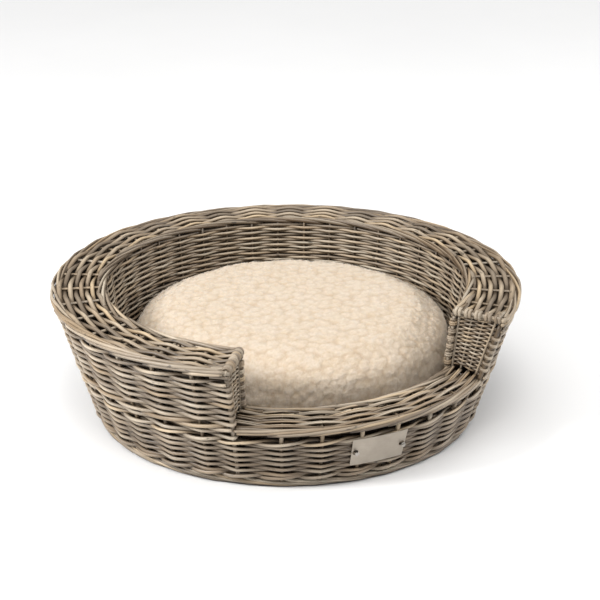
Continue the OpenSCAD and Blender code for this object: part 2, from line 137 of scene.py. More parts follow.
class Rods:
    """Collects swept rods and makes one mesh of them, with each rod's own tone and grain and its painted
    light and shade.
    """

    def __init__(self):
        self.points, self.faces = [], []
        self.grain, self.tone, self.shade, self.warmth = [], [], [], []
        self.count = 0

    def add(self, path, up, wide, deep=None, sides=8, closed=False, out=None, light=1.0):
        """One rod along path. wide is its half size along up, and deep its half size across it.

        light is painted light and shade at each point of the rod, high where it lies forward and low where
        it lies back. out is which way the air is, and the side of the rod turned from it gets painted
        shade.
        """
        path = np.asarray(path, float)
        n = len(path)
        deep = wide if deep is None else deep
        if closed:
            run = np.roll(path, -1, 0) - np.roll(path, 1, 0)
        else:
            run = np.gradient(path, axis=0)
        run /= np.linalg.norm(run, axis=1)[:, None] + 1e-12
        side = np.cross(run, np.broadcast_to(up, path.shape))
        side /= np.linalg.norm(side, axis=1)[:, None] + 1e-12
        top = np.cross(side, run)
        turn = np.arange(sides) * 2 * math.pi / sides
        size = 1 + wobble(n, 18, 0.05)
        across = (np.cos(turn)[None, :, None] * side[:, None] * np.broadcast_to(deep, n)[:, None, None]
                  + np.sin(turn)[None, :, None] * top[:, None] * np.broadcast_to(wide, n)[:, None, None])
        across = across * size[:, None, None]
        ring = path[:, None] + across
        first = self.count
        self.points.append(ring.reshape(-1, 3))
        length = np.concatenate([[0], np.cumsum(np.linalg.norm(np.diff(path, axis=0), axis=1))])
        shift = RNG.uniform(0, 50)
        scale = np.linalg.norm(across, axis=2)
        grain = np.stack([
            np.broadcast_to(length[:, None] + shift, scale.shape),
            np.cos(turn)[None] * scale, np.sin(turn)[None] * scale + shift], -1)
        self.grain.append(grain.reshape(-1, 3))
        tone = RNG.uniform(0, 1) + wobble(n, 40, 0.10)
        self.tone.append(np.clip(tone, 0, 1).repeat(sides))
        self.warmth.append(np.full(n * sides, RNG.uniform(0, 1)))
        # Painted shade: the side of the rod turned away from out is darker, and light scales the painted
        # light and shade along the rod.
        facing = 1.0
        if out is not None:
            facing = (across * np.broadcast_to(out, path.shape)[:, None]).sum(2) / scale.max()
            facing = PAINTED_SIDE_SHADE + (1 - PAINTED_SIDE_SHADE) * np.clip(facing * 1.15 + 0.15, 0, 1)
        shade = np.broadcast_to(light, n)[:, None] * np.broadcast_to(facing, scale.shape)
        self.shade.append(shade.ravel())
        i = np.arange(n if closed else n - 1)[:, None]
        j = np.arange(sides)[None]
        a, b = i * sides, ((i + 1) % n) * sides
        k = (j + 1) % sides
        quads = np.stack([a + j, b + j, b + k, a + k], -1).reshape(-1, 4) + first
        self.faces.append(quads)
        self.count += n * sides
        if not closed:
            self.cap(first, sides, path[0], True)
            self.cap(first + (n - 1) * sides, sides, path[-1], False)

    def cap(self, first, sides, centre, start):
        """Closes a cut end with four-sided faces that share its centre point."""
        self.points.append(np.array([centre]))
        self.grain.append(self.grain[-1][:1])
        self.tone.append(np.array([CUT_TONE]))
        self.shade.append(self.shade[-1][:1])
        self.warmth.append(np.array([CUT_WARMTH]))
        middle = self.count
        self.count += 1
        j = np.arange(0, sides, 2)
        k, m = (j + 1) % sides, (j + 2) % sides
        order = [j, k, m] if start else [m, k, j]
        quads = np.stack([np.full(len(j), middle)] + [first + o for o in order], -1)
        self.faces.append(quads)

    def build(self, name, material):
        """The object made of all the rods so far."""
        mesh = bpy.data.meshes.new(name)
        points = np.concatenate(self.points)
        faces = np.concatenate(self.faces)
        mesh.vertices.add(len(points))
        mesh.vertices.foreach_set("co", points.ravel())
        mesh.loops.add(faces.size)
        mesh.loops.foreach_set("vertex_index", faces.ravel().astype(np.int32))
        mesh.polygons.add(len(faces))
        mesh.polygons.foreach_set("loop_start", np.arange(0, faces.size, 4, dtype=np.int32))
        mesh.polygons.foreach_set("use_smooth", np.ones(len(faces), bool))
        mesh.update()
        mesh.validate()
        grain = mesh.attributes.new("grain", "FLOAT_VECTOR", "POINT")
        grain.data.foreach_set("vector", np.concatenate(self.grain).ravel())
        # The shade value holds painted light and shade; tone and warmth are the rods' own colour.
        for label, values in (("tone", self.tone), ("shade", self.shade), ("warmth", self.warmth)):
            made = mesh.attributes.new(label, "FLOAT", "POINT")
            made.data.foreach_set("value", np.concatenate(values))
        return add_object(name, mesh, material)


def add_object(name, data, material=None):
    """Puts a mesh, lamp or camera into the scene as an object."""
    if material:
        data.materials.append(material)
    obj = bpy.data.objects.new(name, data)
    bpy.context.scene.collection.objects.link(obj)
    return obj


def place(piece, body, slot, *nodes):
    """Ties a piece to its body, and hides the CAD nodes that it stands for."""
    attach(piece, body)
    if nodes:
        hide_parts(*nodes)


# ---- Materials ----

def new_material(name):
    """An empty node material, its node tree and its surface shader."""
    material = bpy.data.materials.new(name)
    material.use_nodes = True
    tree = material.node_tree
    tree.nodes.clear()
    out = tree.nodes.new("ShaderNodeOutputMaterial")
    shader = tree.nodes.new("ShaderNodeBsdfPrincipled")
    tree.links.new(shader.outputs[0], out.inputs["Surface"])
    return material, tree, shader


def node(tree, kind, **values):
    """A new shader node with its settings and unlinked inputs given by name."""
    made = tree.nodes.new(kind)
    for key, value in values.items():
        if hasattr(made, key):
            setattr(made, key, value)
        else:
            made.inputs[key.replace("_", " ")].default_value = value
    return made


def attribute(tree, name, output="Fac"):
    """A value that is stored on the mesh's points."""
    return node(tree, "ShaderNodeAttribute", attribute_name=name).outputs[output]


def set_inputs(shader, **values):
    """Sets a shader's own inputs. Their names have _ for each space."""
    for key, value in values.items():
        shader.inputs[key.replace("_", " ")].default_value = value


def relief(tree, shader, height, strength, distance):
    """Fine relief on the surface, from a height value."""
    bump = node(tree, "ShaderNodeBump", Strength=strength, Distance=distance)
    tree.links.new(height, bump.inputs["Height"])
    tree.links.new(bump.outputs[0], shader.inputs["Normal"])


def ramp(tree, fac, *stops):
    """The colour that a value picks between stops of (place, colour)."""
    made = tree.nodes.new("ShaderNodeValToRGB")
    elements = made.color_ramp.elements
    while len(elements) < len(stops):
        elements.new(0.5)
    for element, (place_at, colour) in zip(elements, stops):
        element.position = place_at
        element.color = colour if len(colour) == 4 else (*colour, 1)
    tree.links.new(fac, made.inputs["Fac"])
    return made.outputs["Color"]


def grey(v):
    return (v, v, v)


def multiply(tree, a, b, amount=1.0):
    """Colour a darkened or tinted by colour b."""
    mix = tree.nodes.new("ShaderNodeMix")
    mix.data_type = "RGBA"
    mix.blend_type = "MULTIPLY"
    mix.inputs["Factor"].default_value = amount
    tree.links.new(a, mix.inputs["A"])
    tree.links.new(b, mix.inputs["B"])
    return mix.outputs["Result"]


def noise(tree, vector, scale, detail=3.0, rough=0.55):
    """A noise value at each place."""
    made = node(tree, "ShaderNodeTexNoise", Scale=scale, Detail=detail, Roughness=rough)
    tree.links.new(vector, made.inputs["Vector"])
    return made.outputs["Fac"]


def stretched(tree, vector, along, across):
    """The vector with its first axis scaled by along and the others by across."""
    made = tree.nodes.new("ShaderNodeMapping")
    made.inputs["Scale"].default_value = (along, across, across)
    tree.links.new(vector, made.inputs["Vector"])
    return made.outputs["Vector"]


def willow(name, dark, mid, light):
    """Washed willow: a tone for each rod, streaks along its grain, small dark leaf scars, and painted
    shade from the rods' shade value.
    """
    material, tree, shader = new_material(name)
    tone = attribute(tree, "tone")
    grain = attribute(tree, "grain", "Vector")
    streaks = noise(tree, stretched(tree, grain, 22, 900), 1.0, 4.0, 0.6)
    patches = noise(tree, stretched(tree, grain, 16, 60), 1.0, 2.0)
    scars = noise(tree, stretched(tree, grain, 75, 220), 1.0, 1.0)
    blend = tree.nodes.new("ShaderNodeMath")
    blend.operation = "MULTIPLY_ADD"
    blend.inputs[1].default_value = 0.62
    tree.links.new(tone, blend.inputs[0])
    half = tree.nodes.new("ShaderNodeMath")
    half.operation = "MULTIPLY"
    half.inputs[1].default_value = 0.55
    tree.links.new(patches, half.inputs[0])
    tree.links.new(half.outputs[0], blend.inputs[2])
    colour = ramp(tree, blend.outputs[0], (0.12, dark), (0.52, mid), (0.95, light))
    colour = multiply(tree, colour, ramp(tree, streaks, (0.30, grey(0.70)), (0.62, grey(1.0))), 0.8)
    colour = multiply(tree, colour, ramp(tree, scars, (0.24, grey(0.35)), (0.31, grey(1.0))), 0.9)
    # Painted shade: dark in the recesses of the weave and on rod sides turned from the air, full colour
    # where a rod stands in front.
    shade = attribute(tree, "shade")
    painted_recess_shade = ramp(tree, shade, (0.0, (0.10, 0.08, 0.06)), (0.45, (0.34, 0.30, 0.26)), (0.95, grey(1.0)))
    colour = multiply(tree, colour, painted_recess_shade)
    warmth = attribute(tree, "warmth")
    tint = ramp(tree, warmth, (0.0, (0.94, 0.97, 1.0)), (0.6, grey(1.0)), (1.0, (1.05, 0.97, 0.83)))
    colour = multiply(tree, colour, tint)
    tree.links.new(colour, shader.inputs["Base Color"])
    rough = ramp(tree, streaks, (0.3, grey(0.56)), (0.7, grey(0.34)))
    tree.links.new(rough, shader.inputs["Roughness"])
    set_inputs(shader, Specular_IOR_Level=0.5)
    relief(tree, shader, streaks, 0.35, 0.0005)
    return material


def object_coords(tree):
    return tree.nodes.new("ShaderNodeTexCoord").outputs["Object"]


def plush_material(name, from_attribute):
    """Cream plush: soft mottling, painted shade low in the pile and painted light on the tuft tops, and a
    fibre sheen.
    """
    material, tree, shader = new_material(name)
    place_at = object_coords(tree)
    height = attribute(tree, "pile")
    fine = noise(tree, place_at, 300, 4.0, 0.65)
    broad = noise(tree, place_at, 34, 3.0, 0.6)
    # Painted light and shade from the pile value: darker in the hollows between tufts, lighter on their
    # tops.
    colour = ramp(tree, height, (0.05, (0.420, 0.323, 0.225)), (0.5, (0.487, 0.395, 0.300)),
                  (0.95, (0.555, 0.470, 0.375)))
    colour = multiply(tree, colour, ramp(tree, fine, (0.25, grey(0.90)), (0.65, grey(1.0))))
    colour = multiply(tree, colour, ramp(tree, broad, (0.3, (0.96, 0.93, 0.88)), (0.6, grey(1.0))))
    tree.links.new(colour, shader.inputs["Base Color"])
    set_inputs(shader, Roughness=0.95, Specular_IOR_Level=0.1, Sheen_Weight=0.3,
               Sheen_Roughness=0.4, Sheen_Tint=(1.0, 0.95, 0.86, 1))
    if from_attribute:
        lie = attribute(tree, "lie", "Vector")
        tree.links.new(lie, shader.inputs["Normal"])
    else:
        set_inputs(shader, Subsurface_Weight=0.25, Subsurface_Radius=(1.0, 0.7, 0.45),
                   Subsurface_Scale=0.005)
        relief(tree, shader, fine, 0.55, 0.0012)
    return material


def cloth_material(name, colour, weave):
    """Plain woven cloth, its threads from two crossed waves."""
    material, tree, shader = new_material(name)
    place_at = object_coords(tree)
    fine = noise(tree, place_at, weave, 2.0, 0.6)
    broad = noise(tree, place_at, 25, 3.0)
    waves = node(tree, "ShaderNodeTexWave", Scale=weave * 0.6, Distortion=1.5)
    waves.bands_direction = "DIAGONAL"
    tree.links.new(place_at, waves.inputs["Vector"])
    shade = ramp(tree, broad, (0.3, tuple(c * 0.9 for c in colour)), (0.7, colour))
    shade = multiply(tree, shade, ramp(tree, fine, (0.3, grey(0.82)), (0.7, grey(1.0))))
    tree.links.new(shade, shader.inputs["Base Color"])
    set_inputs(shader, Roughness=0.85, Sheen_Weight=0.2)
    relief(tree, shader, waves.outputs["Fac"], 0.4, 0.0004)
    return material


def metal_material(name, colour, rough, brushed=True):
    """Satin metal with fine brushing, faint wear and small marks."""
    material, tree, shader = new_material(name)
    place_at = object_coords(tree)
    lines = noise(tree, stretched(tree, place_at, 60, 1400) if brushed else place_at, 1.0, 3.0)
    smudge = noise(tree, place_at, 45, 4.0)
    shade = ramp(tree, smudge, (0.3, tuple(c * 0.88 for c in colour)), (0.7, colour))
    shade = multiply(tree, shade, ramp(tree, lines, (0.3, grey(0.93)), (0.7, grey(1.0))))
    tree.links.new(shade, shader.inputs["Base Color"])
    set_inputs(shader, Metallic=0.75)
    roughness = ramp(tree, smudge, (0.3, grey(rough + 0.08)), (0.7, grey(rough - 0.04)))
    tree.links.new(roughness, shader.inputs["Roughness"])
    relief(tree, shader, lines, 0.12, 0.0002)
    return material


WEAVE = willow("willow_weave", (0.165, 0.122, 0.083), (0.365, 0.290, 0.210), (0.560, 0.470, 0.355))
STAKE = willow("willow_stake", (0.160, 0.122, 0.083), (0.320, 0.255, 0.185), (0.500, 0.425, 0.330))
PLUSH = plush_material("plush", False)
PLUSH_FIBRE = plush_material("plush_fibre", True)
UNDER = cloth_material("under_cloth", (0.70, 0.60, 0.46), 900)
TAPE = cloth_material("zip_cloth", (0.62, 0.54, 0.42), 1400)
PLATE = metal_material("plate_metal", (0.41, 0.36, 0.30), 0.46)
PIN = metal_material("pin_metal", (0.42, 0.39, 0.35), 0.3, False)
ZIP = metal_material("zip_metal", (0.55, 0.52, 0.47), 0.34)


def basket_piece(rods, piece, cad_node, finish=WEAVE, slot="willow_weave"):
    """Makes one piece of the basket from rods. It stands for a CAD node."""
    place(rods.build(piece, finish), "basket", slot, cad_node)


# ---- Weaves on the two walls ----

POINTS_PER_GAP = 10


def weave_turns(stakes, closed):
    """Finely spaced angles, and for each the count of stakes passed, whole at a stake."""
    if closed:
        knots = np.concatenate([stakes, [stakes[0] + 2 * math.pi]])
    else:
        knots = stakes
    count = (len(knots) - 1) * POINTS_PER_GAP
    passed = np.linspace(0, len(knots) - 1, count + 1)
    if closed:
        passed = passed[:-1]
    return np.interp(passed, np.arange(len(knots)), knots), passed


class Wall:
    """A leaning round wall: radius at height z, and the way out of it."""

    def __init__(self, radius, lean):
        self.radius = radius
        slope = math.atan(lean)
        self.out = math.cos(slope)
        self.down = math.sin(slope)

    def at(self, theta, z, offset, side=0.0):
        """A point on the wall, moved outwards by offset and to the right along it by side."""
        r = self.radius(z) + offset * self.out
        point = around(theta, r, z - offset * self.down)
        right = np.stack(np.broadcast_arrays(np.cos(theta), np.sin(theta), 0.0 * theta), -1)
        return point + right * np.expand_dims(np.broadcast_to(side, np.shape(theta)), -1)


OUTER_WALL = Wall(outer_r, OUTER_LEAN)
INNER_WALL = Wall(inner_r, INNER_LEAN)
UP = np.array([0.0, 0.0, 1.0])


def swing(passed):
    """1 in front of a whole stake and -1 behind the next, nearly straight in between."""
    return (np.cos(math.pi * passed) + np.cos(3 * math.pi * passed) / 9) * 0.9


def turn_back(wall, post, z, offset, right_end):
    """A half turn round a corner post, from behind it to in front of it."""
    turn = np.linspace(-math.pi / 2, math.pi / 2, 7)[:-1]
    side = np.cos(turn) * offset * 1.05 * (1 if right_end else -1)
    return wall.at(np.full(len(turn), post), z, np.sin(turn) * offset, side)


def pressed(wall, theta, z):
    """How far rods stand out from the wall at an angle and height: they lie flatter behind the plate."""
    if wall is INNER_WALL:
        return 1.0
    from_front = np.minimum(theta % (2 * math.pi), -theta % (2 * math.pi))
    beside = np.clip((from_front - PLATE_HALF) / math.radians(3), 0, 1)
    above = np.clip((abs(z - PLATE_Z) - PLATE_TALL) / (6 * MM), 0, 1)
    return 0.45 + 0.55 * np.maximum(beside, above)


def siding(rods, wall, stakes, closed, low, high, pitch, wide, deep, offset, sides, face=1):
    """Rows of single rods, each in front of one stake and behind the next, turned back at posts."""
    rows = max(1, round((high - low) / pitch))
    pitch = (high - low) / rows
    theta, passed = weave_turns(stakes, closed)
    sag = abs(np.sin(math.pi * passed))
    lean = np.zeros(len(theta))
    for row in range(rows):
        z = low + (row + 0.5) * pitch
        sign = 1 if row % 2 else -1
        lean = 0.7 * lean + wobble(len(theta), 16, pitch * 0.09)
        heights = z + lean - sag * pitch * RNG.normal(0, 0.10)
        if closed:
            fade = np.minimum(np.arange(len(theta)), len(theta) - np.arange(len(theta))) / 20
            heights = z + (heights - z) * np.clip(fade, 0, 1)
        wave = sign * swing(passed)
        reach = offset * wave * (1 + wobble(len(theta), 30, 0.06)) * pressed(wall, theta, heights)
        path = wall.at(theta, heights, reach)
        # Painted shade: a rod is darker where it lies back in the weave and lighter in front, as seen from
        # the wall's open face. The inner wall's rods are painted lighter overall.
        light = (0.62 + 0.38 * wave) if face > 0 else (0.83 - 0.22 * wave)
        if not closed:
            if wave[0] > 0:
                hook = turn_back(wall, theta[0], heights[0], offset, False)
                path = np.concatenate([hook, path])
                light = np.concatenate([np.ones(len(hook)), light])
            if wave[-1] > 0:
                hook = turn_back(wall, theta[-1], heights[-1], offset, True)[::-1]
                path = np.concatenate([path, hook])
                light = np.concatenate([light, np.ones(len(hook))])
        size = wide * (1 + np.clip(RNG.normal(0, 0.05), -0.05, 0.12))
        rods.add(path, UP, size, deep, sides, closed, out=outward(path) * face, light=light)


def outward(path):
    """Flat direction away from the basket's axis at each point of a path."""
    away = (path - AXIS) * (1, 1, 0)
    return away / np.linalg.norm(away, axis=1)[:, None]


def wale(rods, wall, stakes, closed, z, strands, radius, offset, rise):
    """Strands laid round the stakes together, each crossing over the others as it comes forward."""
    theta, passed = weave_turns(stakes, closed)
    for k in range(strands):
        phase = 2 * math.pi * (passed / strands + k / strands)
        out = np.cos(phase)
        reach = offset * np.sign(out) * abs(out) ** 0.75 * pressed(wall, theta, z)
        path = wall.at(theta, z + rise * np.sin(phase) + wobble(len(theta), 30, 0.3 * MM), reach)
        size = radius * (1 + RNG.normal(0, 0.05))
        # Painted shade: each strand is darker where it goes behind the stakes.
        rods.add(path, UP, size, radius * 0.9, 8, closed, out=outward(path), light=0.6 + 0.4 * out)


def uprights(rods, wall, angles, low, high, radius, sides=8, light=0.45):
    """Stakes up a wall, a little uneven. light is painted shade: by default they are painted darker, for
    the shade where the weave covers them.
    """
    for angle in angles:
        z = np.linspace(low, high, 14)
        path = wall.at(np.full(14, angle), z, 0.0, RNG.normal(0, 0.5 * MM))
        rods.add(path, (math.sin(angle), -math.cos(angle), 0), radius, radius, sides, light=light)


OUTER_ALL = stake_angles(OUTER_STAKES, False)
OUTER_OPEN = stake_angles(OUTER_STAKES, True)
INNER_ALL = stake_angles(INNER_STAKES, False)
INNER_OPEN = stake_angles(INNER_STAKES, True)


def in_entry(angles):
    """The angles that lie in the entry, where the wall stops at the sill."""
    return [a for a in angles if min(a, 2 * math.pi - a) < ENTRY - 0.005]


def past_entry(angles):
    """The angles that lie outside the entry, where the wall is high."""
    return [a for a in angles if min(a, 2 * math.pi - a) > ENTRY + 0.005]


ROD_WIDE = 2.9 * MM
ROD_DEEP = 2.3 * MM
ROD_SWING = 4.2 * MM
SIDING_PITCH = 4.9 * MM
UPPER_PITCH = 5.1 * MM
WALE_ROD = 2.7 * MM
WALE_SWING = 4.8 * MM
MID_ROD = 3.1 * MM
MID_SWING = 5.2 * MM
MID_RISE = 3.0 * MM
COVERED_STAKE = 2.6 * MM
BARE_STAKE = 3.1 * MM
# The bare stake tops above the weave get almost no painted shade.
BARE_LIGHT = 0.95

SIDING_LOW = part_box("outer_siding_lower")[0].z
MID_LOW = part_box("mid_wale")[0].z
MID_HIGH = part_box("mid_wale")[1].z
RIM_WALE_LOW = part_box("rim_wale")[0].z
RIM_WALE_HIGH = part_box("rim_wale")[1].z
SILL_GAP = SILL_Z - 18.4 * MM

LATH_HALF = math.radians(3.1)
LATH_BEHIND = 8.8 * MM
LATH_THICK = 1.2 * MM
LATH_WIDE = 16.5 * MM
# Painted shade of the splints: near black.
LATH_LIGHT = 0.12


def shade_splints(rods):
    """Dark flat splints close behind the outer weave: painted shade for the inside of the wall, and they
    also stop light from passing through it.
    """
    for k in range(OUTER_STAKES * 2):
        angle = (k + 0.5) * math.pi / OUTER_STAKES
        from_front = min(angle, 2 * math.pi - angle)
        if abs(from_front - ENTRY) < LATH_HALF:
            angle += (ENTRY + LATH_HALF - from_front) * (1 if angle < math.pi else -1)
            from_front = ENTRY + LATH_HALF
        top = SILL_Z - 10 * MM if from_front < ENTRY else RIM_Z - 8.5 * MM
        z = np.linspace(SIDING_LOW, top, 10)
        path = OUTER_WALL.at(np.full(10, angle), z, -LATH_BEHIND)
        out = (math.sin(angle), -math.cos(angle), 0)
        rods.add(path, out, LATH_THICK, LATH_WIDE, light=LATH_LIGHT)


def outer_wall():
    """Weave, wales and stakes of the outer wall, from the foot wale to the rim."""
    lower = Rods()
    siding(lower, OUTER_WALL, OUTER_ALL, True, SIDING_LOW, SILL_GAP - 10 * MM, SIDING_PITCH,
           ROD_WIDE * 0.95, ROD_DEEP, ROD_SWING, 8)
    wale(lower, OUTER_WALL, OUTER_ALL, True, SILL_GAP - 6 * MM, 2, WALE_ROD, WALE_SWING, 2.2 * MM)
    siding(lower, OUTER_WALL, OUTER_OPEN, False, SILL_GAP - 1 * MM, MID_LOW - 1 * MM, SIDING_PITCH,
           ROD_WIDE, ROD_DEEP, ROD_SWING, 8)
    basket_piece(lower, "siding_rods_lower", "outer_siding_lower")

    middle = Rods()
    wale(middle, OUTER_WALL, OUTER_OPEN, False, (MID_LOW + MID_HIGH) / 2, 3, MID_ROD,
         MID_SWING, MID_RISE)
    basket_piece(middle, "mid_wale_rods", "mid_wale")

    upper = Rods()
    siding(upper, OUTER_WALL, OUTER_OPEN, False, MID_HIGH, RIM_WALE_LOW - 1 * MM, UPPER_PITCH,
           ROD_WIDE, ROD_DEEP, ROD_SWING, 8)
    basket_piece(upper, "siding_rods_upper", "outer_siding_upper")

    rim = Rods()
    wale(rim, OUTER_WALL, OUTER_OPEN, False, (RIM_WALE_LOW + RIM_WALE_HIGH) / 2 - 1 * MM, 2,
         WALE_ROD, WALE_SWING, 2.0 * MM)
    basket_piece(rim, "rim_wale_rods", "rim_wale")

    stakes = Rods()
    uprights(stakes, OUTER_WALL, past_entry(OUTER_ALL), 8 * MM, RIM_WALE_LOW, COVERED_STAKE)
    uprights(stakes, OUTER_WALL, in_entry(OUTER_ALL), 8 * MM, SILL_GAP - 8 * MM, COVERED_STAKE)
    uprights(stakes, OUTER_WALL, past_entry(OUTER_ALL), RIM_WALE_LOW, RIM_Z - 5 * MM, BARE_STAKE,
             light=BARE_LIGHT)
    uprights(stakes, OUTER_WALL, in_entry(OUTER_ALL), SILL_GAP - 8 * MM, SILL_Z - 5 * MM, BARE_STAKE,
             light=BARE_LIGHT)
    shade_splints(stakes)
    basket_piece(stakes, "outer_stake_rods", "outer_stakes", STAKE, "willow_stake")


INNER_WIDE = 2.15 * MM
INNER_DEEP = 1.8 * MM
INNER_SWING = 3.1 * MM
INNER_PITCH = 4.15 * MM
INNER_STAKE = 1.7 * MM


def inner_wall():
    """Finer weave and stakes of the inner wall."""
    lower = Rods()
    siding(lower, INNER_WALL, INNER_ALL, True, BASE_Z + 1 * MM, INNER_SPLIT_Z, INNER_PITCH,
           INNER_WIDE, INNER_DEEP, INNER_SWING, 6, -1)
    basket_piece(lower, "inner_rods_lower", "inner_siding_lower")
    upper = Rods()
    siding(upper, INNER_WALL, INNER_OPEN, False, INNER_SPLIT_Z, RIM_IN_Z - 8 * MM, INNER_PITCH,
           INNER_WIDE, INNER_DEEP, INNER_SWING, 6, -1)
    basket_piece(upper, "inner_rods_upper", "inner_siding_upper")
    stakes = Rods()
    uprights(stakes, INNER_WALL, past_entry(INNER_ALL), BASE_Z, RIM_IN_Z - 3 * MM, INNER_STAKE, 6)
    uprights(stakes, INNER_WALL, in_entry(INNER_ALL), BASE_Z, SILL_IN_Z - 3 * MM, INNER_STAKE, 6)
    basket_piece(stakes, "inner_stake_rods", "inner_stakes", STAKE, "willow_stake")


# ---- Foot, rim and sill borders ----

def strokes(rods, angles, bays, radius, course, r, top, first=-1e9, last=1e9, painted_light_scale=1.0):
    """A border of bent-over stakes. Each runs along past the next ones and is tucked in.

    course lists, for points along a stroke, the part of its length, its way out and its drop.
    """
    step = 2 * math.pi / OUTER_STAKES
    parts, outs, drops = np.array(course).T
    for angle in angles:
        part = np.linspace(0, 1, int(8 * bays))
        theta = angle + (part * bays - 0.15) * step
        keep = (theta > first) & (theta < last)
        if keep.sum() < 5:
            continue
        part, theta = part[keep], theta[keep]
        n = len(part)
        out = np.interp(part, parts, outs) * MM + wobble(n, 9, 0.3 * MM)
        z = top - np.interp(part, parts, drops) * MM + wobble(n, 9, 0.3 * MM)
        size = radius * (1 + np.clip(RNG.normal(0, 0.07), -0.14, 0.14))
        path = around(theta, r + out, np.maximum(z, size * 1.12))
        # Painted shade: each stroke is darker at both ends, where it goes into the weave. The last
        # argument scales the painted light of a whole border.
        light = np.interp(part, (0, 0.06, 0.8, 1), (0.4, 1, 0.9, 0.5))
        rods.add(path, UP, size, size * 0.95, 8, out=(outward(path) + UP) * 0.7, light=light * painted_light_scale)


FOOT_COURSE = ((0, -2.5, -13), (0.1, 2.2, -10.4), (0.3, 3.4, -7.6), (0.62, 2.2, -4.0), (1, -4.5, -3.4))
RIM_COURSE = ((0, -1.5, 12.2), (0.06, 2.6, 10.2), (0.42, 2.4, 4.0), (0.55, -2.0, 3.2), (0.75, -7, 5),
              (1, -8, 7))
SILL_COURSE = ((0, -1.5, 10.6), (0.06, 2.2, 8.9), (0.42, 2.0, 3.6), (0.55, -1.8, 3.0), (0.75, -6, 4.5),
               (1, -7, 6))
INNER_COURSE = ((0, 2.0, 9.0), (0.1, -1.2, 6.2), (0.4, -1.4, 3.2), (0.72, 2.8, 2.0), (1, 8.5, 4.0))


def foot():
    """The edge it stands on: each stake's foot is laid over the next three and tucked in."""
    border = Rods()
    strokes(border, OUTER_ALL, 3.6, 2.9 * MM, FOOT_COURSE, OUTER_FOOT_R, 0.0)
    theta = np.linspace(0, 2 * math.pi, OUTER_STAKES * POINTS_PER_GAP, endpoint=False)
    # A rod under the strokes, with painted shade.
    border.add(around(theta, OUTER_FOOT_R - 2 * MM, 5.6 * MM), UP, 3.0 * MM, 3.0 * MM, 8, True, light=0.4)
    basket_piece(border, "foot_border_rods", "foot_border")
    upsett = Rods()
    wale(upsett, OUTER_WALL, OUTER_ALL, True, SIDING_LOW - 3.4 * MM, 2, 2.8 * MM, 4.9 * MM,
         2.0 * MM)
    basket_piece(upsett, "foot_wale_rods", "foot_wale")


SHELF_OUT = RIM_R - 10.4 * MM
SHELF_IN = RIM_R - 74.5 * MM
SHELF_ROWS = 8
SHELF_SWING = 4.1 * MM


def shelf_z(r):
    """Height of the middle of the rim shelf."""
    part = (SHELF_OUT - r) / (SHELF_OUT - SHELF_IN)
    return RIM_Z - 5.2 * MM + part * (RIM_IN_Z - RIM_Z)


def shelf():
    """The flat rim shelf: rods woven over the bent-in stakes, and its two borders."""
    theta, passed = weave_turns(OUTER_OPEN, False)
    rods = Rods()
    pitch = (SHELF_OUT - SHELF_IN) / SHELF_ROWS
    for row in range(SHELF_ROWS):
        sign = 1 if row % 2 else -1
        r = SHELF_IN + (row + 0.5) * pitch
        lift = SHELF_SWING * sign * swing(passed)
        rs = r + wobble(len(theta), 30, 0.5 * MM)
        path = around(theta, rs, shelf_z(rs) + lift)
        # Painted shade: a rod is darker where it dips under a rib and lighter where it rises over one.
        light = 0.76 + 0.24 * lift / SHELF_SWING
        for end, index in ((-1, 0), (1, -1)):
            if lift[index] > 0:
                turn = np.linspace(math.pi / 2, -math.pi / 2, 7)[1:]
                along = np.cos(turn) * 3.6 * MM / r * end
                z = shelf_z(r) + np.sin(turn) * 3.2 * MM
                hook = around(theta[index] + along, r, z)
                path = np.concatenate([hook[::-1], path] if index == 0 else [path, hook])
                light = np.concatenate([np.ones(6), light] if index == 0 else [light, np.ones(6)])
        wide = 3.55 * MM * (1 + RNG.normal(0, 0.05))
        rods.add(path, UP, 2.6 * MM, wide, out=UP, light=light)
    basket_piece(rods, "shelf_rods", "shelf_weave")

    ribs = Rods()
    for angle in past_entry(OUTER_ALL):
        r = np.linspace(SHELF_IN - 4 * MM, SHELF_OUT + 4 * MM, 12)
        path = around(np.full(12, angle), r, shelf_z(r))
        # Slight painted shade on the ribs.
        ribs.add(path, UP, 1.8 * MM, 2.7 * MM, light=0.9)
    basket_piece(ribs, "shelf_rib_rods", "shelf_ribs", STAKE, "willow_stake")

    outer = Rods()
    ends = (ENTRY - 0.004, 2 * math.pi - ENTRY + 0.004)
    starts = np.concatenate([OUTER_OPEN[0] - np.arange(4, 0, -1) * 2 * math.pi / OUTER_STAKES, OUTER_OPEN])
    strokes(outer, starts, 4.3, 2.6 * MM, RIM_COURSE, RIM_R - 5.6 * MM, RIM_Z, *ends)
    arc = np.linspace(ENTRY, 2 * math.pi - ENTRY, 240)
    # A rod under the border strokes, with painted shade.
    outer.add(around(arc, RIM_R - 9.5 * MM, RIM_Z - 6.5 * MM), UP, 3.2 * MM, light=0.5)
    basket_piece(outer, "rim_rods_outer", "rim_border_outer")
    inner = Rods()
    r = half_width("rim_border_inner") - 3.9 * MM
    strokes(inner, starts, 2.7, 2.6 * MM, INNER_COURSE, r, RIM_IN_Z + 0.5 * MM, *ends)
    basket_piece(inner, "rim_rods_inner", "rim_border_inner")


SILL_IN_R = SILL_R - 57 * MM
SILL_ROWS = 14
SILL_WAVE = 2.7 * MM
SILL_ROD = 1.65 * MM
# Painted shade that darkens the sill's rods and its outer border strokes.
SILL_PAINTED_LIGHT = 0.76


def sill_z(r):
    """Height of the middle of the sill."""
    part = (SILL_R - r) / (SILL_R - SILL_IN_R)
    return SILL_Z - 3.4 * MM + part * (SILL_IN_Z - SILL_Z)


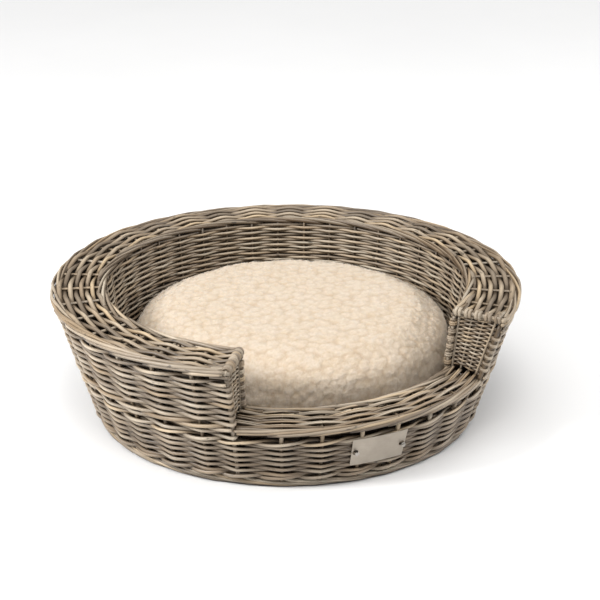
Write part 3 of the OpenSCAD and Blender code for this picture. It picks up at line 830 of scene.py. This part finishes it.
def sill():
    """The low entry sill: thin rods in pairs over its ribs, and its two borders."""
    stakes = np.array([-ENTRY] + [a if a < math.pi else a - 2 * math.pi
                                  for a in in_entry(OUTER_ALL)] + [ENTRY])
    stakes = np.sort(stakes)
    theta, passed = weave_turns(stakes, False)
    rods = Rods()
    low = SILL_IN_R + 7 * MM
    high = SILL_R - 10 * MM
    for row in range(SILL_ROWS):
        r = low + (row + 0.5) * (high - low) / SILL_ROWS
        sign = 1 if (row // 2) % 2 else -1
        wave = sign * np.cos(math.pi * passed)
        rs = r + wobble(len(theta), 14, 0.5 * MM) + 0.7 * MM * np.sin(math.pi * passed)
        path = around(theta, rs, sill_z(rs) + SILL_WAVE * wave + wobble(len(theta), 9, 0.3 * MM))
        # Painted shade: a rod is darker where it dips under a rib, and the whole sill is painted darker.
        rods.add(path, UP, SILL_ROD, 1.7 * MM * (1 + RNG.normal(0, 0.08)), out=UP,
                 light=SILL_PAINTED_LIGHT + 0.20 * wave)
    basket_piece(rods, "sill_rods", "sill_weave")

    ribs = Rods()
    for angle in in_entry(OUTER_ALL):
        r = np.linspace(SILL_IN_R + 2 * MM, SILL_R - 5 * MM, 12)
        # The ribs are darker with painted shade.
        ribs.add(around(np.full(12, angle), r, sill_z(r) - 1.5 * MM), UP, 1.6 * MM, light=0.5)
    basket_piece(ribs, "sill_rib_rods", "sill_ribs", STAKE, "willow_stake")

    outer = Rods()
    step = 2 * math.pi / OUTER_STAKES
    ends = (-ENTRY + 0.004, ENTRY - 0.004)
    strokes(outer, stakes[0] + np.arange(-4, 9) * step, 4.6, 2.4 * MM, SILL_COURSE,
            SILL_R - 5 * MM, SILL_Z, *ends, painted_light_scale=SILL_PAINTED_LIGHT)
    arc = np.linspace(-ENTRY, ENTRY, 80)
    # A rod under the border strokes, with painted shade.
    outer.add(around(arc, SILL_R - 9.5 * MM, SILL_Z - 6.5 * MM), UP, 3.2 * MM, light=0.5)
    basket_piece(outer, "sill_rods_outer", "sill_border_outer")
    inner = Rods()
    strokes(inner, stakes[0] + np.arange(-4, 9) * step, 3.8, 2.2 * MM, INNER_COURSE,
            SILL_IN_R + 3.4 * MM, SILL_IN_Z + 0.5 * MM, *ends)
    basket_piece(inner, "sill_rods_inner", "sill_border_inner")


# ---- End panels ----

class EndPlane:
    """The upright plane through the axis where one end of the high wall stops."""

    def __init__(self, side):
        self.side = side
        self.angle = side * ENTRY

    def at(self, r, z, back=0.0):
        """A point at radius r and height z. back is towards the wall, away from the entry."""
        r, z, back = np.broadcast_arrays(np.asarray(r, float), z, back)
        point = around(np.full(r.shape, self.angle), r, z)
        along = np.array([math.cos(self.angle), math.sin(self.angle), 0.0]) * self.side
        return point + along * back[..., None]


def rail_z(r):
    """Height of the rail across the top of an end panel."""
    part = (r - inner_r(RIM_IN_Z)) / (outer_r(RIM_Z) - inner_r(RIM_IN_Z))
    return RIM_IN_Z - 5.2 * MM + part * (RIM_Z - RIM_IN_Z)


def end_frame(name, side):
    """Corner posts and top rail at one end of the high wall, and the cut ends of the rim rods."""
    plane = EndPlane(side)
    out = (math.sin(plane.angle), -math.cos(plane.angle), 0)
    rods = Rods()
    z = np.linspace(14 * MM, RIM_Z - 14 * MM, 20)
    # Painted shade on the outer post, darker towards the top.
    rods.add(plane.at(outer_r(z), z), out, 3.1 * MM, light=np.linspace(0.8, 0.5, 20))
    back = np.linspace(22, -5.5, 8) * MM
    for inwards, drop in ((0.5, 5.6), (0.8, 11.4), (7.6, 2.6), (14.5, 3.6)):
        r = np.full(8, RIM_R - 5 * MM - inwards * MM)
        end = plane.at(r, RIM_Z - drop * MM - back * 0.02, back)
        # Slight painted shade on the cut rod ends.
        rods.add(end, UP, 2.7 * MM, light=0.8)
    z = np.linspace(BASE_Z, RIM_IN_Z - 4 * MM, 20)
    rods.add(plane.at(inner_r(z), z), out, 2.6 * MM)
    r = np.linspace(inner_r(RIM_IN_Z) - 3 * MM, outer_r(RIM_Z) + 3 * MM, 16)
    rods.add(plane.at(r, rail_z(r)), UP, 3.0 * MM)
    basket_piece(rods, f"end_rods_{name}", f"end_frame_{name}", STAKE)


PANEL_ROWS = 25
PANEL_BACK = 3.5 * MM


def end_panel(name, side):
    """Fine woven infill between the corner posts, and the sticks that it is woven on."""
    plane = EndPlane(side)
    rods = Rods()
    parts = np.array([0.0, 1 / 3, 2 / 3, 1.0])
    passed = np.linspace(0, 3, 37)
    for row in range(PANEL_ROWS):
        up = (row + 0.5) / PANEL_ROWS
        part = np.interp(passed, np.arange(4), parts)
        low_in, low_out = SILL_IN_Z + 2 * MM, SILL_Z + 3 * MM
        high_in, high_out = RIM_IN_Z - 12 * MM, RIM_Z - 12 * MM
        z_in = low_in + up * (high_in - low_in)
        z_out = low_out + up * (high_out - low_out)
        z = z_in + part * (z_out - z_in) + wobble(len(part), 12, 0.35 * MM)
        r0, r1 = inner_r(z) + 7.5 * MM, outer_r(z) - 8.5 * MM
        sign = 1 if row % 2 else -1
        back = PANEL_BACK + 2.1 * MM * sign * np.cos(math.pi * passed)
        # Painted shade: a rod is darker where it lies further back in the panel.
        light = 0.62 - 0.38 * sign * np.cos(math.pi * passed)
        rods.add(plane.at(r0 + part * (r1 - r0), z, back), UP, 1.5 * MM, 1.3 * MM, 6, light=light)
    basket_piece(rods, f"panel_rods_{name}", f"end_panel_{name}")

    sticks = Rods()
    out = (math.sin(plane.angle), -math.cos(plane.angle), 0)
    for part in parts:
        z = np.linspace(SILL_Z + 2 * MM, RIM_Z - 8 * MM, 12)
        r0, r1 = inner_r(z) + 7.5 * MM, outer_r(z) - 8.5 * MM
        edge = part in (0.0, 1.0)
        depth = PANEL_BACK - (2.6 * MM if edge else 0)
        size = (1.8 if edge else 1.5) * MM
        # Slight painted shade on the sticks.
        sticks.add(plane.at(r0 + part * (r1 - r0), z, depth), out, size, None, 6, light=0.8)
    z = RIM_IN_Z - 11.5 * MM
    r = np.linspace(inner_r(z) + 6 * MM, outer_r(z) - 8 * MM, 14)
    sticks.add(plane.at(r, z + (r - r[0]) * 0.04, PANEL_BACK - 2.4 * MM), UP, 2.0 * MM, None, 6, light=1.0)
    basket_piece(sticks, f"panel_sticks_{name}", f"panel_stakes_{name}", STAKE, "willow_stake")


def wrap(rods, centre, along, radius, rod, turns=1.0, sides=6):
    """A rod wound round a stick at centre, which runs along the given way."""
    along = along / np.linalg.norm(along)
    first = np.cross(along, (0.3, 0.2, 1.0) if abs(along[2]) < 0.8 else (1.0, 0.1, 0.0))
    first /= np.linalg.norm(first)
    second = np.cross(along, first)
    turn = np.linspace(0, 2 * math.pi * turns, int(18 * turns) + 1) + RNG.uniform(0, 6)
    climb = (turn - turn.mean()) / (2 * math.pi) * rod * 1.7
    path = (centre + radius * (np.cos(turn)[:, None] * first + np.sin(turn)[:, None] * second)
            + climb[:, None] * along)
    rods.add(path, along, rod, rod * 0.85, sides)


def lashings(name, side):
    """Rods wound round the inner post, and rods looped over the rail."""
    plane = EndPlane(side)
    rods = Rods()
    inner_way = plane.at(inner_r(RIM_IN_Z), RIM_IN_Z) - plane.at(inner_r(0.0), 0.0)
    z = SILL_IN_Z + 5 * MM
    while z < RIM_IN_Z - 14 * MM:
        wrap(rods, plane.at(inner_r(z), z), inner_way, 4.7 * MM, 1.75 * MM, 2.3)
        z += 12.4 * MM
    r0, r1 = inner_r(RIM_IN_Z) + 4 * MM, outer_r(RIM_Z) - 6 * MM
    rail_way = plane.at(r1, rail_z(r1)) - plane.at(r0, rail_z(r0))
    rail_way /= np.linalg.norm(rail_way)
    back = np.array([math.cos(plane.angle), math.sin(plane.angle), 0.0]) * side
    for part in np.linspace(0.02, 0.98, 5):
        for half in (-1, 1):
            r = r0 + part * (r1 - r0) + half * 2.7 * MM
            turn = np.linspace(-0.1, 1.25, 16) * math.pi
            tall = 5.6 * MM * np.sin(turn)
            deep = -5.2 * MM * np.cos(turn)
            loop = plane.at(r, rail_z(r)) + tall[:, None] * UP - deep[:, None] * back
            # Slight painted shade on the rail loops.
            rods.add(loop, rail_way, 2.6 * MM, 2.3 * MM, 8, light=0.8)
    basket_piece(rods, f"lashing_rods_{name}", f"post_lashings_{name}")


# ---- Base ----

BASE_R = 38 * MM
BASE_PITCH = 4.7 * MM
# The rings lie evenly. Their draws are still made, so that the later pieces keep theirs.
BASE_UNEVEN = 0.0


def base():
    """Woven base: rings of rods over crossing sticks, and the bound centre of the sticks."""
    low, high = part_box("base_weave")
    middle = (low.z + high.z) / 2
    spokes = np.arange(16) * 2 * math.pi / 16
    rods = Rods()
    r = BASE_R
    row = 0
    while r < OUTER_FOOT_R - 9 * MM:
        points = 16 * (6 if r < 0.12 else 10)
        theta = np.linspace(0, 2 * math.pi, points, endpoint=False)
        sign = 1 if row % 2 else -1
        lift = 2.6 * MM * sign * np.cos(theta * 8)
        path = around(theta, r + wobble(points, 30, BASE_UNEVEN), middle + lift)
        rods.add(path, UP, 1.6 * MM, 2.2 * MM, 6, True)
        r += BASE_PITCH
        row += 1
    basket_piece(rods, "base_rods", "base_weave")

    sticks = Rods()
    for angle in spokes:
        r = np.linspace(24 * MM, OUTER_FOOT_R - 6 * MM, 14)
        sticks.add(around(np.full(14, angle), r, middle), UP, 2.0 * MM, 2.6 * MM)
    basket_piece(sticks, "base_stick_rods", "base_sticks", STAKE, "willow_stake")

    slath = Rods()
    for direction in (0, 1):
        for k in range(4):
            across = (k - 1.5) * 7.5 * MM
            run = np.linspace(-29 * MM, 29 * MM, 12)
            z = np.full(12, middle + (1.2 * MM if direction else -1.2 * MM))
            pair = (run, np.full(12, across)) if direction else (np.full(12, across), run)
            slath.add(AXIS + np.stack([*pair, z], -1), UP, 2.0 * MM, 2.9 * MM)
    for ring in range(3):
        theta = np.linspace(0, 2 * math.pi, 96, endpoint=False)
        z = middle + 2.8 * MM * np.cos(theta * 4 + ring * math.pi)
        slath.add(around(theta, 20 * MM + ring * 4.2 * MM, z), UP, 1.5 * MM, 2.0 * MM, 6, True)
    basket_piece(slath, "slath_rods", "base_slath", STAKE, "willow_stake")


# ---- Plate pins ----

def pins():
    """Flat pin heads in the plate's two holes, a little sunk and tilted."""
    r = AXIS[1] - plate_low.y - 1.4 * MM
    across = PLATE_HALF - math.radians(1.1)
    rods = Rods()
    for side in (-1, 1):
        angle = side * across
        out = np.array([math.sin(angle), -math.cos(angle), 0.0])
        tilt = out + np.array([0, 0, 0.28 * side])
        tilt /= np.linalg.norm(tilt)
        centre = around(np.array(angle), r, PLATE_Z) + np.array([0, 0, -0.5 * MM])
        steps = np.array([-7, -0.9, -0.85, -0.3, 0.15, 0.3]) * MM
        widths = np.array([1.0, 1.0, 3.3, 3.4, 2.8, 0.8]) * MM
        rods.add(centre + steps[:, None] * tilt, UP, widths, widths, 20)
    basket_piece(rods, "pin_heads", "plate_pins", PIN, "plate_metal")


# ---- Cushion ----

VOXEL = 5 * MM
PRESSURE = 4
CLOTH_STEPS = 15
SWELL_CAP = 3.5 * MM
SIDE_ROOM = 1.5 * MM
UNDER_ROOM = 0.6 * MM
TOP_ROOM = 8 * MM
# How square the outline is: 2 is round, and more is fuller towards the corner.
FULL_ABOVE = 5.4
FULL_BELOW = 4.0


def cushion_frame():
    """The cushion's centre, its radius, and the heights of its underside, seam and top."""
    low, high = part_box("cushion_top_cover")
    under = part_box("cushion_bottom_cover")[0]
    centre = np.array([(low.x + high.x) / 2, (low.y + high.y) / 2, 0.0])
    return centre, (high.x - low.x) / 2, under.z, low.z, high.z


def lathe(name, profile, segments=128):
    """A closed round shell turned from a profile of (radius, height) pairs."""
    centre = cushion_frame()[0]
    theta = np.linspace(0, 2 * math.pi, segments, endpoint=False)
    points = [centre + (0, 0, profile[0][1])]
    for r, z in profile[1:-1]:
        points.extend(centre + np.stack([r * np.cos(theta), r * np.sin(theta), 0 * theta + z], -1))
    points.append(centre + (0, 0, profile[-1][1]))
    faces = []
    for j in range(segments):
        k = (j + 1) % segments
        faces.append((0, 1 + j, 1 + k))
        for i in range(len(profile) - 3):
            a, b = 1 + i * segments, 1 + (i + 1) * segments
            faces.append((a + j, b + j, b + k, a + k))
        last = 1 + (len(profile) - 3) * segments
        faces.append((last + j, len(points) - 1, last + k))
    mesh = bpy.data.meshes.new(name)
    mesh.from_pydata([tuple(p) for p in points], [], faces)
    mesh.update()
    return add_object(name, mesh)


def pillow_profile(radius, low, seam, high, steps=20):
    """Outline of the cushion: well filled above its seam, rounder below it."""
    turn = np.linspace(0, math.pi / 2, steps)
    top = 2 / FULL_ABOVE
    under = 2 / FULL_BELOW
    profile = [(radius * math.cos(a) ** top, seam + (high - seam) * math.sin(a) ** top)
               for a in turn[::-1]]
    profile += [(radius * math.cos(a) ** under, seam - (seam - low) * math.sin(a) ** under)
                for a in turn[1:]]
    profile[0] = (0.0, profile[0][1])
    profile[-1] = (0.0, profile[-1][1])
    return profile


def apply_modifiers(obj):
    """Makes the mesh what its modifiers make of it, and removes them."""
    graph = bpy.context.evaluated_depsgraph_get()
    mesh = bpy.data.meshes.new_from_object(obj.evaluated_get(graph))
    obj.modifiers.clear()
    obj.data = mesh


def coords(mesh):
    """The places of a mesh's points."""
    co = np.empty(len(mesh.vertices) * 3)
    mesh.vertices.foreach_get("co", co)
    return co.reshape(-1, 3)


def remesh(obj):
    """Gives the cushion an even mesh of small faces."""
    voxels = obj.modifiers.new("remesh", "REMESH")
    voxels.mode = "VOXEL"
    voxels.voxel_size = VOXEL
    apply_modifiers(obj)


def inflate(obj):
    """Swells the cushion as cloth under pressure. No point goes further than the cap."""
    start = coords(obj.data)
    cloth = obj.modifiers.new("cloth", "CLOTH")
    settings = cloth.settings
    settings.quality = 4
    settings.mass = 0.3
    settings.use_pressure = True
    settings.uniform_pressure_force = PRESSURE
    settings.effector_weights.gravity = 0
    scene = bpy.context.scene
    for step in range(1, CLOTH_STEPS + 1):
        scene.frame_set(step)
    apply_modifiers(obj)
    scene.frame_set(1)
    moved = coords(obj.data) - start
    far = np.linalg.norm(moved, axis=1)
    held = start + moved * np.minimum(1, SWELL_CAP / np.maximum(far, 1e-9))[:, None]
    obj.data.vertices.foreach_set("co", held.ravel())
    obj.data.update()


TUFT_JITTER = 0.27
TUFT_SPAN = 0.34


def rosettes(points, period):
    """Height of the swirled tufts at each point, 1 to 0, and the way out from the tuft's middle."""
    grid = np.random.default_rng(3)
    u = np.arange(-TUFT_SPAN, TUFT_SPAN, period)
    seeds = np.stack(np.meshgrid(u, u * 0.9, indexing="ij"), -1).reshape(-1, 2)
    seeds[:, 0] += np.tile(np.arange(len(u)) % 2, len(u)) * period * 0.5
    seeds = seeds + grid.uniform(-TUFT_JITTER, TUFT_JITTER, seeds.shape) * period
    height = np.zeros(len(points))
    outward_way = np.zeros((len(points), 2))
    for start in range(0, len(points), 20000):
        part = points[start:start + 20000, :2]
        near = np.full(len(part), 1e9)
        which = np.zeros(len(part), int)
        for k, seed in enumerate(seeds):
            gap = (part[:, 0] - seed[0]) ** 2 + (part[:, 1] - seed[1]) ** 2
            closer = gap < near
            near[closer] = gap[closer]
            which[closer] = k
        away = part - seeds[which]
        distance = np.sqrt(near) / (period * 0.62)
        twist = np.arctan2(away[:, 1], away[:, 0]) + distance * 3.6 + which * 1.7
        swirl = 0.5 + 0.5 * np.cos(twist * 2)
        dome = np.clip(1 - distance ** 2, 0, 1)
        height[start:start + 20000] = dome ** 0.8 * (0.45 + 0.55 * swirl)
        outward_way[start:start + 20000] = away / (np.sqrt(near)[:, None] + 1e-6)
    return height, outward_way


TUFT = 16.5 * MM
TUFT_HEIGHT = 2.1 * MM
FIBRES = 48000
FIBRE_LONG = (2.4, 5.0)
FIBRE_HALF = (0.22, 0.42)


def fibres(points, normals, tuft, away, facing):
    """Short soft fibres of the pile, lying round the middle of each tuft."""
    weight = facing ** 2
    pick = RNG.choice(len(points), FIBRES, p=weight / weight.sum())
    normal = normals[pick]
    centre = cushion_frame()[0]
    radial = (points[pick] - centre) * (1, 1, 0)
    radial /= np.linalg.norm(radial, axis=1)[:, None] + 1e-9
    along = np.cross(UP, radial)
    outer = np.cross(along, normal)
    flat = away[pick]
    turn = 1.15 + RNG.normal(0, 0.9, FIBRES)
    spun = np.stack([flat[:, 0] * np.cos(turn) - flat[:, 1] * np.sin(turn),
                     flat[:, 0] * np.sin(turn) + flat[:, 1] * np.cos(turn)], 1)
    lean = (spun * radial[:, :2]).sum(1)[:, None] * outer \
        + (spun * along[:, :2]).sum(1)[:, None] * along
    side = np.cross(normal, lean)
    side /= np.linalg.norm(side, axis=1)[:, None] + 1e-9
    long = RNG.uniform(*FIBRE_LONG, FIBRES)[:, None] * MM
    root = points[pick] + RNG.normal(0, 0.8 * MM, (FIBRES, 3)) - normal * 0.5 * MM
    middle = root + normal * long * 0.28 + lean * long * 0.42
    tip = root + normal * long * 0.36 + lean * long * 0.98
    half = RNG.uniform(*FIBRE_HALF, FIBRES)[:, None] * MM
    corners = np.stack([root + side * half, root - side * half, middle - side * half * 0.9,
                        middle + side * half * 0.9, tip], 1).reshape(-1, 3)
    first = np.arange(FIBRES)[:, None] * 5
    quads = (first + [[0, 1, 2, 3]]).tolist()
    tips = (first + [[3, 2, 4]]).tolist()
    mesh = bpy.data.meshes.new("plush_fibres")
    mesh.from_pydata(corners.tolist(), [], quads + tips)
    mesh.update()
    # Painted light and shade of the fibres: lighter on tuft tops and towards each tip, darker at the root
    # and in the hollows, and the top a little darker than the sides.
    pile = mesh.attributes.new("pile", "FLOAT", "POINT")
    base = 0.48 + 0.75 * tuft[pick] - 0.12 * np.clip(normal[:, 2], 0, 1) + RNG.normal(0, 0.05, FIBRES)
    rise = np.array([0.0, 0.0, 0.10, 0.10, 0.16])
    pile.data.foreach_set("value", np.clip(base[:, None] + rise, 0, 1).ravel())
    lie = mesh.attributes.new("lie", "FLOAT_VECTOR", "POINT")
    soft = normal + lean * 0.22
    soft /= np.linalg.norm(soft, axis=1)[:, None]
    lie.data.foreach_set("vector", soft.repeat(5, 0).ravel())
    obj = add_object("plush_fibres", mesh, PLUSH_FIBRE)
    obj.visible_shadow = False
    obj.visible_diffuse = False
    place(obj, "cushion", "plush")


def cushion():
    """The plush cushion: a swollen cover with rows of swirled tufts and short fibres."""
    centre, radius, low, seam, high = cushion_frame()
    profile = pillow_profile(radius - SIDE_ROOM, low + UNDER_ROOM, seam, high - TOP_ROOM)
    pad = lathe("cushion_plush", profile)
    remesh(pad)
    inflate(pad)
    smooth = pad.modifiers.new("subdivision", "SUBSURF")
    smooth.levels = smooth.render_levels = 1
    apply_modifiers(pad)
    mesh = pad.data
    points = coords(mesh)
    normals = np.empty(len(points) * 3)
    mesh.vertices.foreach_get("normal", normals)
    normals = normals.reshape(-1, 3)
    spread = points - centre
    flat = np.linalg.norm(spread[:, :2], axis=1)
    drop = np.maximum(high - 4 * MM - points[:, 2], 0)
    unrolled = spread[:, :2] * (1 + drop / np.maximum(flat, 0.05))[:, None]
    tuft, away = rosettes(unrolled, TUFT)
    facing = np.clip((normals[:, 2] + 0.35) / 0.6, 0, 1)
    clump = RNG.normal(0, 1, len(points))
    lift = (tuft * TUFT_HEIGHT + clump * 0.16 * MM) * facing
    points = points + normals * lift[:, None]
    points[:, 2] = np.maximum(points[:, 2], low + 0.1 * MM)
    mesh.vertices.foreach_set("co", points.ravel())
    # Painted light and shade of the pile: lighter on tuft tops, darker in the hollows, and the top a
    # little darker than the sides.
    pile = mesh.attributes.new("pile", "FLOAT", "POINT")
    pile_light_and_shade = 0.47 + 0.85 * tuft * facing - 0.14 * np.clip(normals[:, 2], 0, 1)
    pile.data.foreach_set("value", np.clip(pile_light_and_shade + clump * 0.03, 0, 1))
    fibres(points, normals, tuft, away, facing)
    mesh.polygons.foreach_set("use_smooth", np.ones(len(mesh.polygons), bool))
    mesh.update()
    mesh.materials.clear()
    mesh.materials.append(PLUSH)
    place(pad, "cushion", "plush", "cushion_top_cover", "cushion_bottom_cover", "cushion_filling")


# ---- Studio ----

LIT_POINT = (0, 0, 0.1)
FLOOR_HALF = 40.0
SUN_POWER = 1.75
SUN_WAY = (0.20, 0.26, -1.0)


def area_light(name, place_at, size, power, colour=(1, 1, 1)):
    """A soft round lamp that shines on the basket."""
    data = bpy.data.lights.new(name, "AREA")
    data.shape = "DISK"
    data.size = size
    data.energy = power
    data.color = colour
    light = add_object(name, data)
    light.location = place_at
    light.rotation_euler = aim_angles(np.array(LIT_POINT) - np.array(place_at))


def aim_angles(way):
    """Turns that point an object's -Z along way, with its Y up."""
    flat = math.hypot(way[0], way[1])
    return (math.pi / 2 + math.atan2(way[2], flat), 0.0, math.atan2(way[1], way[0]) - math.pi / 2)


CAMERA_AZIMUTH = math.radians(-25.69)
CAMERA_HEIGHT = math.radians(21.76)
CAMERA_DISTANCE = 9.0
CAMERA_LENS = 125.4
LOOK_RIGHT = 0.0596
LOOK_UP = 0.1817
LOOK_LEVEL = 0.288


def camera():
    """The camera, at the angle and distance that show the basket as it is usually pictured."""
    data = bpy.data.cameras.new("camera")
    data.lens = CAMERA_LENS
    data.sensor_width = 36
    data.clip_end = 50
    right = np.array([math.cos(CAMERA_AZIMUTH), math.sin(CAMERA_AZIMUTH), 0])
    back = np.array([math.sin(CAMERA_AZIMUTH) * math.cos(CAMERA_HEIGHT),
                     -math.cos(CAMERA_AZIMUTH) * math.cos(CAMERA_HEIGHT), math.sin(CAMERA_HEIGHT)])
    up = np.cross(back, right)
    look = AXIS + RIM_R * (np.array([0, 0, LOOK_LEVEL]) + right * LOOK_RIGHT + up * LOOK_UP)
    place_at = look + back * CAMERA_DISTANCE * RIM_R
    eye = add_object("camera", data)
    eye.location = place_at
    eye.rotation_euler = aim_angles(look - place_at)
    bpy.context.scene.camera = eye


def floor():
    """A plain pale floor that reaches past the camera's view."""
    mesh = bpy.data.meshes.new("floor")
    corners = [(x * FLOOR_HALF, y * FLOOR_HALF, 0) for x, y in ((-1, -1), (1, -1), (1, 1), (-1, 1))]
    mesh.from_pydata(corners, [], [(0, 1, 2, 3)])
    material, tree, shader = new_material("floor_paper")
    shade = ramp(tree, noise(tree, object_coords(tree), 2.0), (0.3, grey(0.76)), (0.7, grey(0.78)))
    tree.links.new(shade, shader.inputs["Base Color"])
    set_inputs(shader, Roughness=1.0, Specular_IOR_Level=0.0)
    add_object("floor", mesh, material)


def studio():
    """Soft light from above and from three sides, and a white backdrop for the camera."""
    world = bpy.data.worlds.new("studio")
    world.use_nodes = True
    tree = world.node_tree
    tree.nodes.clear()
    way = tree.nodes.new("ShaderNodeTexCoord").outputs["Generated"]
    split = tree.nodes.new("ShaderNodeSeparateXYZ")
    tree.links.new(way, split.inputs[0])
    sky = tree.nodes.new("ShaderNodeBackground")
    glow = ramp(tree, split.outputs["Z"], (0.0, grey(0.06)), (0.45, grey(0.26)), (1.0, grey(0.53)))
    tree.links.new(glow, sky.inputs["Color"])
    white = tree.nodes.new("ShaderNodeBackground")
    white.inputs["Color"].default_value = (1, 1, 1, 1)
    seen = tree.nodes.new("ShaderNodeLightPath").outputs["Is Camera Ray"]
    mix = tree.nodes.new("ShaderNodeMixShader")
    tree.links.new(seen, mix.inputs["Fac"])
    tree.links.new(sky.outputs[0], mix.inputs[1])
    tree.links.new(white.outputs[0], mix.inputs[2])
    out = tree.nodes.new("ShaderNodeOutputWorld")
    tree.links.new(mix.outputs[0], out.inputs["Surface"])
    bpy.context.scene.world = world
    sun = bpy.data.lights.new("sky_light", "SUN")
    sun.energy = SUN_POWER
    sun.angle = math.radians(60)
    add_object("sky_light", sun).rotation_euler = aim_angles(np.array(SUN_WAY))
    area_light("left_light", (-2.5, 0.1, 1.7), 1.0, 86)
    area_light("front_light", (-0.9, -2.3, 4.2), 1.6, 44, (1.0, 0.96, 0.91))
    area_light("right_light", (2.4, -0.8, 1.5), 1.0, 34)
    bpy.context.scene.view_settings.view_transform = "Standard"


camera()
floor()
studio()
outer_wall()
inner_wall()
foot()
shelf()
sill()
for side_name, side_sign in (("left", -1), ("right", 1)):
    end_frame(side_name, side_sign)
    end_panel(side_name, side_sign)
    lashings(side_name, side_sign)
base()
pins()
cushion()

for cad_node, finish in (("name_plate", PLATE), ("cushion_piping", UNDER),
                         ("zip_tape", TAPE), ("zip_teeth", ZIP), ("zip_slider", ZIP),
                         ("zip_pull", ZIP)):
    mesh_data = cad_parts[cad_node].data
    mesh_data.materials.clear()
    mesh_data.materials.append(finish)
